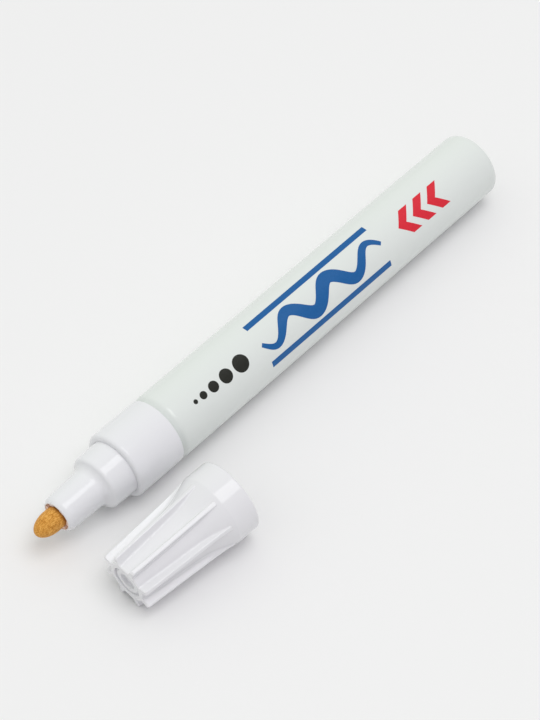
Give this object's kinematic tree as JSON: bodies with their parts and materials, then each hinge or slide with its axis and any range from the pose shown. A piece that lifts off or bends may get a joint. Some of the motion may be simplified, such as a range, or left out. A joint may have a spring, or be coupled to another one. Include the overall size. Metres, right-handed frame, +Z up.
{
  "type": "paint marker",
  "caption": "Valve-action paint marker with a bullet nib and a plain round barrel, its ribbed cap pulled off and lying beside it.",
  "frame": {"origin": "centre of the flat tail face, on the marker's axis", "axes": "+X out of the tail along the marker's axis, so the nib points along -X; +Z up from the table it lies on"},
  "size_m": [0.1329, 0.0375, 0.0165],
  "materials": {
    "barrel_white": null,
    "collar_white": "glossy moulded plastic",
    "nose_white": "glossy moulded plastic",
    "nib_fibre": "pressed fibre soaked with ochre paint",
    "cap_white": "glossy moulded plastic",
    "inner_cap_white": "softer moulded plastic",
    "valve_plastic": "moulded plastic",
    "seal_rubber": "smooth rubber",
    "spring_steel": "drawn wire",
    "ball_steel": "polished ball"
  },
  "bodies": {
    "marker": {"barrel": "barrel_white", "barrel_seal": "seal_rubber", "collar": "collar_white", "nose": "nose_white", "valve_seat": "valve_plastic", "seat_packing": "seal_rubber", "valve_housing": "valve_plastic", "spring_retainer": "valve_plastic", "valve_spring": "spring_steel"},
    "nib_and_rod": {"nib": "nib_fibre", "valve_rod": "valve_plastic"},
    "ball": {"mixing_ball": "ball_steel"},
    "cap": {"cap_shell": "cap_white", "inner_cap": "inner_cap_white"}
  },
  "joints": [
    {"name": "nib_press", "type": "slide", "parent": "marker", "child": "nib_and_rod", "axis": [1, 0, 0], "range_m": [0, 0.002], "stiffness_N_per_m": 600, "deforming": ["valve_spring"]},
    {"name": "ball_roll", "type": "slide", "parent": "marker", "child": "ball", "axis": [1, 0, 0], "range_m": [-0.0332, 0.0407]},
    {"name": "cap_pull", "type": "slide", "parent": "marker", "child": "cap", "axis": [-0.9974, 0.0724, 0], "range_m": [0, 0.03]}
  ]
}
